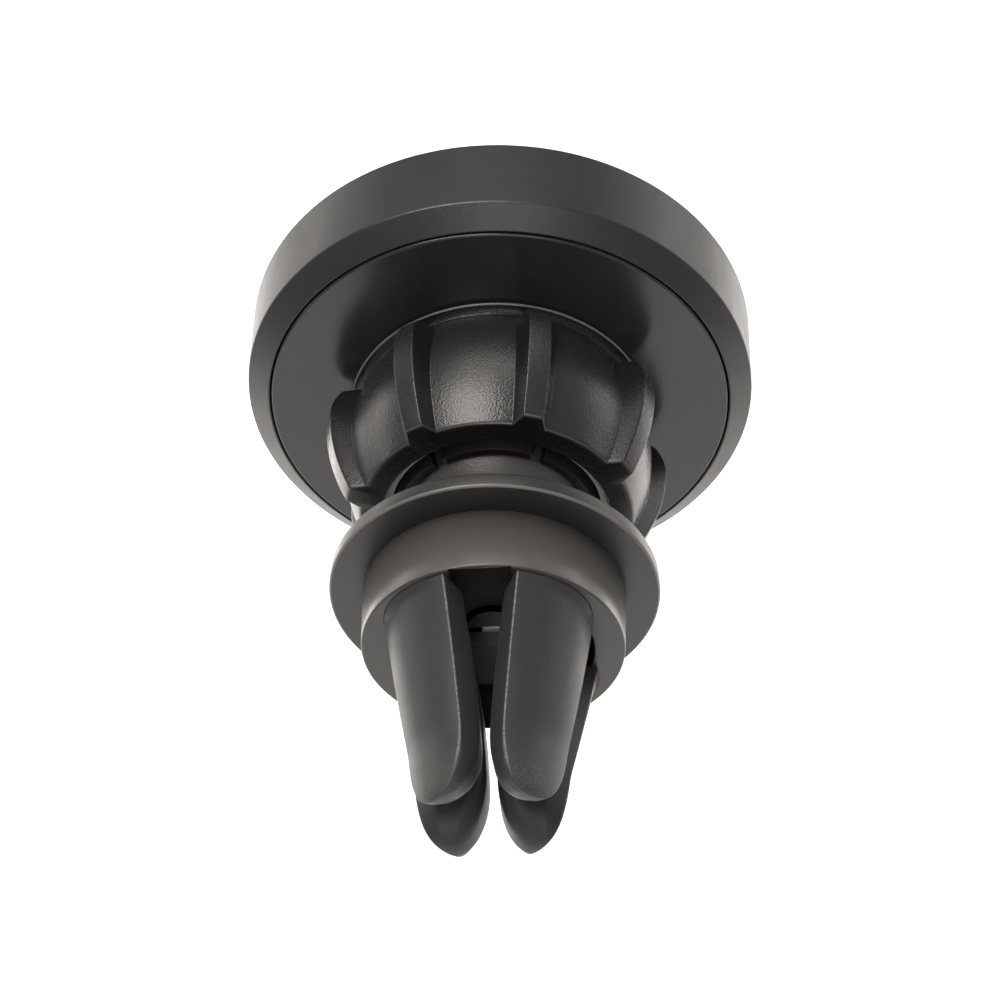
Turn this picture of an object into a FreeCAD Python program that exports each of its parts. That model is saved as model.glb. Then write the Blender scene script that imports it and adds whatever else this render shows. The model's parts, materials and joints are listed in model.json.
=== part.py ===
import FreeCAD, Part
import math
import os
import Sketcher

# A magnetic car phone mount that pinches an air-vent blade.
#
# Frame (millimetres): the origin is the middle of the collar's end face, where a pushed-in vent blade stops.
# +Y runs along the axis towards the prong tips, -Y towards the phone and +Z is up in use.
# Every turned piece is drawn as (radius, Y) in its body's XY plane and revolved about the Y axis.

doc = FreeCAD.newDocument("vent_mount")
sheet = doc.addObject("Spreadsheet::Sheet", "Sizes")


class Size:
    """A length that knows both its value and the spreadsheet expression it comes from."""

    def __init__(self, value, text):
        self.value = value
        self.text = text

    def __add__(self, other):
        other = as_size(other)
        return Size(self.value + other.value, f"({self.text} + {other.text})")

    def __sub__(self, other):
        other = as_size(other)
        return Size(self.value - other.value, f"({self.text} - {other.text})")

    def __mul__(self, factor):
        return Size(self.value * factor, f"({self.text} * {factor})")

    def __neg__(self):
        return Size(-self.value, f"(0 - {self.text})")


def as_size(number):
    return number if isinstance(number, Size) else Size(float(number), f"{float(number)}")


def spread(name, value, note):
    """Adds one driving dimension to the sheet and returns it."""
    spread.row += 1
    sheet.set(f"A{spread.row}", note)
    sheet.set(f"B{spread.row}", str(value))
    sheet.setAlias(f"B{spread.row}", name)
    return Size(float(value), f"Sizes.{name}")


spread.row = 0

# Head: an open cup, its back cover, the pad on its front and what lies between them.
HEAD_RADIUS = spread("head_radius", 22.5, "head, outside radius at its back edge")
HEAD_FRONT_RADIUS = spread("head_front_radius", 22.75, "head, outside radius at its front rim")
COVER_SETBACK = spread("cover_setback", 27.0, "collar end to the back cover's outer face")
CHAMFER_RISE = spread("chamfer_rise", 1.5, "height of the head's back chamfer")
WALL_LENGTH = spread("wall_length", 7.4, "length of the head's round wall")
PAD_PROUD = spread("pad_proud", 1.5, "how far the pad stands out of the head")
PAD_DEPTH = spread("pad_depth", 0.5, "depth of the pad's recess")
PAD_RADIUS = spread("pad_radius", 20.7, "pad, radius")
PAD_ROOM = spread("pad_room", 0.2, "radial room round the pad")
GLUE = spread("glue_thickness", 0.15, "adhesive film thickness")
GLUE_INSET = spread("glue_inset", 0.3, "pad's edge to the adhesive's edge")
SEAM_RADIUS = spread("seam_radius", 20.43, "radius of the seam round the back cover")
SEAM_GAP = spread("seam_gap", 0.13, "width of that seam")
COVER_THICKNESS = spread("cover_thickness", 1.2, "back cover thickness")
COVER_HOLE = spread("cover_hole", 12.3, "radius of the back cover's hole")
LEDGE_RADIUS = spread("ledge_radius", 19.3, "radius of the hole in the cover's ledge")
LEDGE_EDGE = spread("ledge_edge", 1.0, "thickness of that ledge at its hole")
LEDGE_ROOT = spread("ledge_root", 2.4, "thickness of that ledge at the wall")
FRONT_PLATE = spread("front_plate", 1.2, "thickness of the head's front plate")
CUP_RADIUS = spread("cup_radius", 20.9, "inside radius of the head")

# Magnets and what holds them.
MAGNET_RADIUS = spread("magnet_radius", 4.5, "magnet radius")
MAGNET_THICKNESS = spread("magnet_thickness", 2.0, "magnet thickness")
MAGNET_CIRCLE = spread("magnet_circle", 10.2, "radius of the circle of magnets")
MAGNET_ROOM = spread("magnet_room", 0.05, "room round each magnet")
HOLDER_RADIUS = spread("holder_radius", 14.9, "magnet holder and yoke plate radius")
YOKE_THICKNESS = spread("yoke_thickness", 1.0, "yoke plate thickness")
YOKE_HOLE = spread("yoke_hole", 2.0, "radius of the holder's and yoke's middle hole")

# Ball, socket and the rings round the ball.
BALL_RADIUS = spread("ball_radius", 8.5, "ball radius")
BALL_SETBACK = spread("ball_setback", 18.5, "collar end to the ball's middle")
SHELL_ROOM = spread("shell_room", 0.15, "gap between the ball, its rings and the socket")
RING_THICKNESS = spread("ring_thickness", 0.9, "seat and friction ring thickness")
SOCKET_FLANGE_RADIUS = spread("socket_flange_radius", 18.9, "socket's mounting flange radius")
SOCKET_FLANGE = spread("socket_flange", 2.0, "socket's mounting flange thickness")
SOCKET_SINK = spread("socket_sink", 1.3, "back cover's face to the socket flange")
NECK_RADIUS = spread("socket_neck_radius", 12.0, "socket's plain neck radius")
NECK_PROUD = spread("socket_neck_proud", 0.05, "how far the neck stands out of the cover")
THREAD_RADIUS = spread("thread_radius", 10.95, "socket's outside thread radius")
THREAD_END = spread("thread_end", 18.0, "collar end to the thread's last turn")
TAPER_RADIUS = spread("taper_radius", 10.3, "large radius of the socket's taper")
TAPER_START = spread("taper_start", 0.4, "thread's last turn to the taper")
LIP_RADIUS = spread("lip_radius", 8.3, "outside radius of the socket's lip")
LIP_SETBACK = spread("lip_setback", 14.3, "collar end to the socket's lip")
SLOT_WIDTH = spread("slot_width", 0.9, "width of the cuts between the socket's fingers")
SLOT_END = spread("slot_end", 24.0, "collar end to the bottom of those cuts")
SLOT_INNER = spread("slot_inner", 6.0, "axis to the inner end of those cuts")
PILLAR_INNER = spread("pillar_inner", 6.0, "inside radius of the socket's foot on the yoke")
PILLAR_OUTER = spread("pillar_outer", 9.0, "outside radius of that foot")
SEAT_EDGE = 150.0  # degrees from +Y to the ball seat's edge
RING_START = 96.0  # degrees from +Y to the friction ring's two edges
RING_END = 119.0
POCKET_START = 92.0  # degrees from +Y to where the socket widens for the rings

# Screws that hold the socket to the head.
BOSS_CIRCLE = spread("boss_circle", 16.7, "radius of the circle of screw bosses")
BOSS_RADIUS = spread("boss_radius", 1.7, "boss radius")
SCREW_SHANK = spread("screw_shank", 0.95, "socket screw shank radius")
SCREW_HEAD = spread("screw_head", 1.7, "socket screw head radius")
SCREW_HEAD_RISE = spread("screw_head_rise", 0.9, "socket screw head height")
SCREW_SINK = spread("screw_sink", 1.0, "depth of the socket screws' counterbores")
SCREW_LENGTH = spread("screw_length", 4.0, "socket screw shank length")
SCREW_ROOM = spread("screw_room", 0.1, "radial room round the socket screws")
SHANK_ROOM = spread("shank_room", 0.01, "radial room round their threads in the bosses")

# Ribbed locking nut and the slip ring inside it.
NUT_BACK = spread("nut_back", 26.8, "collar end to the nut's rim")
NUT_FRONT = spread("nut_front", 14.0, "collar end to the nut's open end")
NUT_RIM_RADIUS = spread("nut_rim_radius", 13.3, "nut rim radius")
NUT_RIM = spread("nut_rim", 0.3, "nut rim thickness at its edge")
NUT_RIM_SLOPE = spread("nut_rim_slope", 0.2, "how much the rim thickens towards the panels")
NUT_TOP_RADIUS = spread("nut_top_radius", 12.35, "panel radius next to the rim")
NUT_BELLY_RADIUS = spread("nut_belly_radius", 13.3, "panel radius at the nut's belly")
NUT_BELLY = spread("nut_belly", 6.3, "rim to the nut's belly")
NUT_WAIST_RADIUS = spread("nut_waist_radius", 12.8, "panel radius between belly and open end")
NUT_WAIST = spread("nut_waist", 3.5, "open end to that radius")
NUT_END_RADIUS = spread("nut_end_radius", 11.5, "panel radius at the nut's open end")
NUT_MOUTH = spread("nut_mouth", 9.6, "radius of the nut's mouth")
NUT_LIP = spread("nut_lip", 0.7, "thickness of the nut's mouth")
NUT_BORE = spread("nut_bore", 11.05, "nut thread radius")
NUT_CONE = spread("nut_cone", 0.1, "thread's last turn to the nut's inner cone")
RIB_TOP_GAP = spread("rib_top_gap", 1.35, "nut rim to the ribs' ends")
RIB_REACH = spread("rib_reach", 15.4, "radius to which the ribs are drawn before they are trimmed")
RIB_HALF_TOP = spread("rib_half_top", 0.7, "half the width of a rib's top")
RIB_HALF_FOOT = spread("rib_half_foot", 2.5, "half the width of a rib's foot")
RIB_FOOT_RADIUS = spread("rib_foot_radius", 11.2, "radius at which the ribs start")
RIB_TURN = spread("rib_turn", 26.0, "degrees from the upright to the first rib")
# The curve over the ribs: height from the rim and radius.
RIB_CURVE = [(1.2, 14.05), (2.3, 14.65), (4.2, 15.05), (5.3, 15.02), (9.3, 14.15), (12.9, 12.6)]
SLIP_BACK = spread("slip_back", 17.4, "collar end to the slip ring's wide end")
SLIP_FRONT = spread("slip_front", 15.0, "collar end to the slip ring's narrow end")
SLIP_BACK_INNER = spread("slip_back_inner", 10.38, "slip ring's wide end, inside radius")
SLIP_BACK_OUTER = spread("slip_back_outer", 10.7, "slip ring's wide end, outside radius")
SLIP_FRONT_INNER = spread("slip_front_inner", 8.92, "slip ring's narrow end, inside radius")
SLIP_FRONT_OUTER = spread("slip_front_outer", 9.64, "slip ring's narrow end, outside radius")

# Clip: ball stud, collar, carrier and its screw.
FLANGE_RADIUS = spread("flange_radius", 13.47, "flange radius")
FLANGE_THICKNESS = spread("flange_thickness", 1.42, "flange thickness")
STUD_NECK_RADIUS = spread("stud_neck_radius", 4.0, "radius of the neck under the ball")
STUD_FLARE = spread("stud_flare", 1.4, "size of the neck's flare at the flange")
COLLAR_LENGTH = spread("collar_length", 5.45, "collar length")
COLLAR_BASE_RADIUS = spread("collar_base_radius", 10.7, "collar radius at the flange")
COLLAR_END_RADIUS = spread("collar_end_radius", 10.5, "collar radius at its end")
RECESS_RADIUS = spread("recess_radius", 8.0, "radius of the recess in the collar")
RECESS_DEPTH = spread("recess_depth", 3.9, "depth of that recess")
NOTCH_WIDTH = spread("notch_width", 4.6, "width of the notch across the recess")
NOTCH_REACH = spread("notch_reach", 10.2, "how far the notch reaches from the axis")
CARRIER_THICKNESS = spread("carrier_thickness", 1.2, "prong carrier thickness")
CARRIER_ROOM = spread("carrier_room", 0.1, "radial room round the carrier")
STUD_HOLE = spread("stud_hole", 1.25, "radius of the screw hole in the stud")
CLEAR_HOLE = spread("clear_hole", 1.6, "radius of the screw's clearance holes")
STUD_SCREW_SHANK = spread("stud_screw_shank", 1.24, "stud screw shank radius")
STUD_SCREW_HEAD = spread("stud_screw_head", 2.2, "stud screw head radius")
STUD_SCREW_RISE = spread("stud_screw_rise", 0.9, "stud screw head height")
STUD_SCREW_LENGTH = spread("stud_screw_length", 9.2, "stud screw shank length")
STUD_HOLE_SPARE = spread("stud_hole_spare", 0.6, "hole left past the stud screw's end")
DRIVE_WIDTH = spread("drive_width", 0.6, "width of the stud screw's drive slot")
DRIVE_DEPTH = spread("drive_depth", 0.45, "depth of that slot")
SINK_RADIUS = spread("sink_radius", 2.5, "counterbore radius in the carrier")
SINK_DEPTH = spread("sink_depth", 0.7, "counterbore depth in the carrier")
WASHER_RADIUS = spread("washer_radius", 2.4, "washer radius")
WASHER_THICKNESS = spread("washer_thickness", 0.2, "washer thickness")

# Prongs: a stiff core in a soft sleeve, four times round the axis.
PRONG_LENGTH = spread("prong_length", 16.15, "collar end to the prong tips")
PRONG_BASE = spread("prong_base", 0.3, "collar end to the sleeve's base")
PRONG_SLOT = spread("prong_slot", 4.8, "collar end to the middle of the blade slot")
PRONG_PINCH = spread("prong_pinch", 10.5, "collar end to the pinch")
INNER_CHAMFER = spread("inner_chamfer", 0.8, "chamfer on a prong's inner corner")
TIP_X = spread("tip_x", 3.25, "middle of a prong's tip, sideways")
TIP_Z = spread("tip_z", 3.8, "middle of a prong's tip, upwards")
CORE_ROOT = spread("core_root", 2.5, "how deep the cores start inside the collar")
CORE_LENGTH = spread("core_length", 16.5, "core length")
CORE_ROOT_X = spread("core_root_x", 4.2, "middle of a core's root, sideways")
CORE_ROOT_Z = spread("core_root_z", 4.4, "middle of a core's root, upwards")
CORE_ROOT_WIDTH = spread("core_root_width", 2.2, "width of a core's root")
CORE_TIP_PLACE = spread("core_tip_place", 3.0, "middle of a core's tip, both ways")
CORE_TIP_WIDTH = spread("core_tip_width", 1.7, "width of a core's tip")

# What each prong section is drawn from, and its values at the three heights.
SECTION_TERMS = [
    ("gap", "axis to the inner faces"),
    ("reach_x", "reach sideways"),
    ("reach_z", "reach upwards"),
    ("edge", "axis to the outer face's two long edges"),
    ("bulge", "outer face where it crosses the diagonal"),
    ("drop", "depth of the slopes beside those edges"),
]
FOOT_SECTION = [1.6, 8.1, 9.7, 2.8, 6.85, 2.2]
SLOT_SECTION = [0.95, 7.3, 8.0, 2.25, 5.95, 2.0]
PINCH_SECTION = [0.4, 6.15, 6.1, 1.65, 4.8, 1.8]
# How a prong rounds off past its pinch: share of the way to the tip, and how much of the section's size
# is left away from the axis and round it.
TIP_ROUNDING = [(0.4, 0.90, 0.96), (0.7, 0.69, 0.81), (0.9, 0.40, 0.55), (1.0, 0.12, 0.20)]

MAGNET_COUNT = 6
SCREW_COUNT = 4
FINGER_COUNT = 6
RIB_COUNT = 8
SPARE = 0.5  # how far cuts run past what they cut

# Where the main faces lie on the Y axis.
COVER_FACE = -COVER_SETBACK
LEDGE_FACE = COVER_FACE - COVER_THICKNESS
SHELL_EDGE = COVER_FACE - CHAMFER_RISE
RIM_FACE = SHELL_EDGE - WALL_LENGTH
PAD_FLOOR = RIM_FACE + PAD_DEPTH
PLATE_FACE = PAD_FLOOR + FRONT_PLATE
PAD_FACE = RIM_FACE - PAD_PROUD
YOKE_BACK = PLATE_FACE + MAGNET_THICKNESS
YOKE_FACE = YOKE_BACK + YOKE_THICKNESS
FLANGE_TOP = COVER_FACE - SOCKET_SINK
FLANGE_UNDER = FLANGE_TOP - SOCKET_FLANGE
BALL_MIDDLE = -BALL_SETBACK
STUD_FACE = -COLLAR_LENGTH
STUD_BACK = STUD_FACE - FLANGE_THICKNESS
RECESS_FLOOR = -RECESS_DEPTH
CARRIER_FACE = RECESS_FLOOR + CARRIER_THICKNESS
SINK_FLOOR = CARRIER_FACE - SINK_DEPTH
HEAD_SEAT = SINK_FLOOR + WASHER_THICKNESS
NUT_RIM_FACE = -NUT_BACK
NUT_MOUTH_FACE = -NUT_FRONT


# ---------------------------------------------------------------- drawing

def new_body(label):
    body = doc.addObject("PartDesign::Body", label)
    body.Label = label
    return body


def origin_part(body, role):
    for feature in body.Origin.OriginFeatures:
        if feature.Role == role:
            return feature
    raise ValueError(role)


def new_sketch(body, plane, name):
    """A sketch on one of the body's own origin planes."""
    sketch = body.newObject("Sketcher::SketchObject", name)
    sketch.AttachmentSupport = [(origin_part(body, plane), "")]
    sketch.MapMode = "FlatFace"
    return sketch


def cross_sketch(body, height, name):
    """A sketch square to the Y axis at the given height; its x is X and its y is Z."""
    sketch = new_sketch(body, "XZ_Plane", name)
    sketch.setExpression("AttachmentOffset.Base.z", (-height).text)
    return sketch


def hold(sketch, kind, geometry, end, size):
    """Binds one coordinate of a line's end to its expression."""
    if abs(size.value) < 1e-9:
        axis = -2 if kind == "DistanceX" else -1
        sketch.addConstraint(Sketcher.Constraint("PointOnObject", geometry, end, axis))
        return
    index = sketch.addConstraint(Sketcher.Constraint(kind, -1, 1, geometry, end, size.value))
    sketch.setExpression(f"Constraints[{index}]", size.text)


def arc_between(start, finish, centre):
    """The shorter arc from start to finish round centre, and whether it runs backwards."""
    radius = math.hypot(start[0].value - centre[0].value, start[1].value - centre[1].value)
    first = math.atan2(start[1].value - centre[1].value, start[0].value - centre[0].value)
    last = math.atan2(finish[1].value - centre[1].value, finish[0].value - centre[0].value)
    swing = (last - first + math.pi) % (2 * math.pi) - math.pi
    middle = FreeCAD.Vector(centre[0].value, centre[1].value, 0)
    circle = Part.Circle(middle, FreeCAD.Vector(0, 0, 1), radius)
    if swing > 0:
        return Part.ArcOfCircle(circle, first, first + swing), False
    return Part.ArcOfCircle(circle, first + swing, first), True


def outline(sketch, points, arcs=None):
    """Draws a closed outline; arcs gives the centre and radius of the edge that leaves a point."""
    arcs = arcs or {}
    points = [(as_size(x), as_size(y)) for x, y in points]
    count = len(points)
    starts = []
    ends = []
    for i, start in enumerate(points):
        finish = points[(i + 1) % count]
        if i in arcs:
            middle, radius = arcs[i]
            middle = (as_size(middle[0]), as_size(middle[1]))
            edge, backwards = arc_between(start, finish, middle)
            index = sketch.addGeometry(edge, False)
            hold(sketch, "DistanceX", index, 3, middle[0])
            hold(sketch, "DistanceY", index, 3, middle[1])
            bound = sketch.addConstraint(Sketcher.Constraint("Radius", index, radius.value))
            sketch.setExpression(f"Constraints[{bound}]", radius.text)
            starts.append((index, 2 if backwards else 1))
            ends.append((index, 1 if backwards else 2))
        else:
            edge = Part.LineSegment(
                FreeCAD.Vector(start[0].value, start[1].value, 0),
                FreeCAD.Vector(finish[0].value, finish[1].value, 0),
            )
            index = sketch.addGeometry(edge, False)
            starts.append((index, 1))
            ends.append((index, 2))
    for i, point in enumerate(points):
        sketch.addConstraint(Sketcher.Constraint("Coincident", *ends[i - 1], *starts[i]))
        touching = [arcs[j] for j in (i, (i - 1) % count) if j in arcs]
        if not touching:
            hold(sketch, "DistanceX", *starts[i], point[0])
            hold(sketch, "DistanceY", *starts[i], point[1])
            continue
        middle = touching[0][0]
        across = abs(point[0].value - as_size(middle[0]).value)
        along = abs(point[1].value - as_size(middle[1]).value)
        if along > across:
            hold(sketch, "DistanceX", *starts[i], point[0])
        else:
            hold(sketch, "DistanceY", *starts[i], point[1])


def circle(sketch, place, radius):
    index = sketch.addGeometry(
        Part.Circle(FreeCAD.Vector(place.value, 0, 0), FreeCAD.Vector(0, 0, 1), radius.value), False
    )
    hold(sketch, "DistanceX", index, 3, place)
    hold(sketch, "DistanceY", index, 3, as_size(0))
    bound = sketch.addConstraint(Sketcher.Constraint("Radius", index, radius.value))
    sketch.setExpression(f"Constraints[{bound}]", radius.text)


# ---------------------------------------------------------------- features

def turned(label, points, arcs=None):
    """A body revolved about the Y axis from a (radius, Y) outline."""
    body = new_body(label)
    sketch = new_sketch(body, "XY_Plane", label + "_profile")
    outline(sketch, points, arcs)
    revolve = body.newObject("PartDesign::Revolution", label + "_turned")
    revolve.Profile = sketch
    revolve.ReferenceAxis = (sketch, ["V_Axis"])
    revolve.Angle = 360.0
    sketch.Visibility = False
    doc.recompute()
    return body


def extrude(body, kind, sketch, length, towards_prongs):
    """A pad or pocket of the given length, towards the prongs or towards the phone."""
    feature = body.newObject("PartDesign::" + kind, f"{sketch.Name}_{kind.lower()}")
    feature.Profile = sketch
    feature.setExpression("Length", length.text)
    feature.Reversed = towards_prongs if kind == "Pad" else not towards_prongs
    doc.recompute()
    return feature


def cut(body, sketch, length, towards_prongs):
    """A pocket that has to take something away."""
    before = body.Shape.Volume
    feature = extrude(body, "Pocket", sketch, length, towards_prongs)
    if feature.Shape.Volume > before - 1e-3:
        raise RuntimeError(f"{sketch.Name} cuts nothing")
    return feature


def around(body, features, count):
    """Repeats features evenly round the Y axis."""
    pattern = body.newObject("PartDesign::PolarPattern", f"{body.Name}_pattern")
    pattern.Originals = features
    pattern.Axis = (origin_part(body, "Y_Axis"), [""])
    pattern.Angle = 360.0
    pattern.Occurrences = count
    body.Tip = pattern
    doc.recompute()
    return pattern


def cylinder(name, radius, length, base, out=None, turn=0.0):
    """A cylinder along +Y that starts at height base, moved out from the axis and turned about it."""
    piece = doc.addObject("Part::Cylinder", name)
    piece.setExpression("Radius", radius.text)
    piece.setExpression("Height", length.text)
    stand = FreeCAD.Rotation(FreeCAD.Vector(1, 0, 0), -90)
    piece.Placement = FreeCAD.Placement(FreeCAD.Vector(0, 0, 0), stand)
    out = out or as_size(0)
    piece.setExpression("Placement.Base.x", f"{out.text} * cos({turn})")
    piece.setExpression("Placement.Base.y", base.text)
    piece.setExpression("Placement.Base.z", f"{out.text} * sin({turn})")
    return piece


def compound(label, pieces):
    group = doc.addObject("Part::Compound", label)
    group.Label = label
    group.Links = pieces
    return group


# ---------------------------------------------------------------- head

def head_shell():
    body = turned("head_shell", [
        (0, PAD_FLOOR),
        (PAD_RADIUS + PAD_ROOM, PAD_FLOOR),
        (PAD_RADIUS + PAD_ROOM, RIM_FACE),
        (HEAD_FRONT_RADIUS, RIM_FACE),
        (HEAD_RADIUS, SHELL_EDGE),
        (SEAM_RADIUS, COVER_FACE),
        (SEAM_RADIUS, LEDGE_FACE),
        (LEDGE_RADIUS, LEDGE_FACE),
        (LEDGE_RADIUS, LEDGE_FACE - LEDGE_EDGE),
        (CUP_RADIUS, LEDGE_FACE - LEDGE_ROOT),
        (CUP_RADIUS, PLATE_FACE),
        (0, PLATE_FACE),
    ])
    posts = cross_sketch(body, PLATE_FACE, "boss_outline")
    circle(posts, BOSS_CIRCLE, BOSS_RADIUS)
    boss = extrude(body, "Pad", posts, FLANGE_UNDER - PLATE_FACE, True)
    holes = cross_sketch(body, FLANGE_UNDER, "boss_hole")
    circle(holes, BOSS_CIRCLE, SCREW_SHANK)
    hole = cut(body, holes, SCREW_LENGTH - SOCKET_FLANGE + SCREW_SINK, False)
    around(body, [boss, hole], SCREW_COUNT)
    return body


def back_cover():
    outer = SEAM_RADIUS - SEAM_GAP
    return turned("back_cover", [
        (COVER_HOLE, LEDGE_FACE),
        (outer, LEDGE_FACE),
        (outer, COVER_FACE),
        (COVER_HOLE, COVER_FACE),
    ])


def face_pad():
    back = PAD_FLOOR - GLUE
    return turned("face_pad", [(0, PAD_FACE), (PAD_RADIUS, PAD_FACE), (PAD_RADIUS, back), (0, back)])


def pad_adhesive():
    outer = PAD_RADIUS - GLUE_INSET
    back = PAD_FLOOR - GLUE
    return turned("pad_adhesive", [(0, back), (outer, back), (outer, PAD_FLOOR), (0, PAD_FLOOR)])


def magnets():
    discs = []
    for i in range(MAGNET_COUNT):
        turn = 360.0 / MAGNET_COUNT * i
        name = f"magnet_{i + 1}"
        discs.append(cylinder(name, MAGNET_RADIUS, MAGNET_THICKNESS, PLATE_FACE, MAGNET_CIRCLE, turn))
    return compound("magnets", discs)


def magnet_holder():
    body = turned("magnet_holder", [
        (YOKE_HOLE, PLATE_FACE),
        (HOLDER_RADIUS, PLATE_FACE),
        (HOLDER_RADIUS, YOKE_BACK),
        (YOKE_HOLE, YOKE_BACK),
    ])
    sketch = cross_sketch(body, PLATE_FACE, "magnet_seat")
    circle(sketch, MAGNET_CIRCLE, MAGNET_RADIUS + MAGNET_ROOM)
    around(body, [cut(body, sketch, MAGNET_THICKNESS, True)], MAGNET_COUNT)
    return body


def yoke_plate():
    return turned("yoke_plate", [
        (YOKE_HOLE, YOKE_BACK),
        (HOLDER_RADIUS, YOKE_BACK),
        (HOLDER_RADIUS, YOKE_FACE),
        (YOKE_HOLE, YOKE_FACE),
    ])


def socket_screws():
    """Four small screws, heads sunk in the socket's flange and shanks in the head's bosses."""
    seat = FLANGE_TOP - SCREW_SINK
    screws = []
    for i in range(SCREW_COUNT):
        turn = 360.0 / SCREW_COUNT * i
        head = cylinder(f"screw_head_{i + 1}", SCREW_HEAD, SCREW_HEAD_RISE, seat, BOSS_CIRCLE, turn)
        tip = seat - SCREW_LENGTH
        thread = SCREW_SHANK - SHANK_ROOM
        shank = cylinder(f"screw_shank_{i + 1}", thread, SCREW_LENGTH, tip, BOSS_CIRCLE, turn)
        screw = doc.addObject("Part::Fuse", f"socket_screw_{i + 1}")
        screw.Base = head
        screw.Tool = shank
        screws.append(screw)
    return compound("socket_screws", screws)


# ---------------------------------------------------------------- ball joint

def on_sphere(radius, angle):
    """A point at the given distance from the ball's middle, its angle in degrees from +Y."""
    turn = math.radians(angle)
    return (radius * math.sin(turn), BALL_MIDDLE + radius * math.cos(turn))


def ball_socket():
    """A slotted cup round the ball, with a thread outside and a flange that screws to the head."""
    grip = BALL_RADIUS + SHELL_ROOM
    pocket = grip + RING_THICKNESS + SHELL_ROOM
    lip_height = BALL_SETBACK.value - LIP_SETBACK.value
    lip_angle = math.degrees(math.acos(lip_height / grip.value))
    centre = (as_size(0), BALL_MIDDLE)
    step_height = on_sphere(grip, POCKET_START)[1]
    step_out = math.degrees(math.acos((step_height.value + BALL_SETBACK.value) / pocket.value))
    neck_end = COVER_FACE + NECK_PROUD
    body = turned(
        "ball_socket",
        [
            (0, FLANGE_UNDER),
            (PILLAR_INNER, FLANGE_UNDER),
            (PILLAR_INNER, YOKE_FACE),
            (PILLAR_OUTER, YOKE_FACE),
            (PILLAR_OUTER, FLANGE_UNDER),
            (SOCKET_FLANGE_RADIUS, FLANGE_UNDER),
            (SOCKET_FLANGE_RADIUS, FLANGE_TOP),
            (NECK_RADIUS, FLANGE_TOP),
            (NECK_RADIUS, neck_end),
            (THREAD_RADIUS, neck_end),
            (THREAD_RADIUS, -THREAD_END),
            (TAPER_RADIUS, -THREAD_END + TAPER_START),
            (LIP_RADIUS, -LIP_SETBACK),
            on_sphere(grip, lip_angle),
            on_sphere(grip, POCKET_START),
            on_sphere(pocket, step_out),
            (0, BALL_MIDDLE - pocket),
        ],
        {13: (centre, grip), 15: (centre, pocket)},
    )
    middle = cross_sketch(body, -SLOT_END, "finger_slot")
    half = SLOT_WIDTH * 0.5
    outer = THREAD_RADIUS + SPARE
    outline(middle, [(SLOT_INNER, -half), (outer, -half), (outer, half), (SLOT_INNER, half)])
    slot = cut(body, middle, SLOT_END - LIP_SETBACK + SPARE, True)
    around(body, [slot], FINGER_COUNT)
    sinks = cross_sketch(body, FLANGE_TOP, "screw_sink")
    circle(sinks, BOSS_CIRCLE, SCREW_HEAD + SCREW_ROOM)
    sink = cut(body, sinks, SCREW_SINK, False)
    clears = cross_sketch(body, FLANGE_TOP, "screw_clearance")
    circle(clears, BOSS_CIRCLE, SCREW_SHANK + SCREW_ROOM)
    clear = cut(body, clears, SOCKET_FLANGE, False)
    around(body, [sink, clear], SCREW_COUNT)
    return body


def spherical_band(label, first, last):
    """A band of even thickness round the ball, from one angle from +Y to another."""
    inner = BALL_RADIUS + SHELL_ROOM
    outer = inner + RING_THICKNESS
    centre = (as_size(0), BALL_MIDDLE)
    return turned(
        label,
        [on_sphere(inner, first), on_sphere(outer, first), on_sphere(outer, last), on_sphere(inner, last)],
        {1: (centre, outer), 3: (centre, inner)},
    )


def ball_seat():
    """A shallow cup that backs the ball, like a saucer behind its pole."""
    return spherical_band("ball_seat", SEAT_EDGE, 180.0)


def friction_ring():
    """A ring round the ball, just behind its widest part."""
    return spherical_band("friction_ring", RING_START, RING_END)


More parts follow.
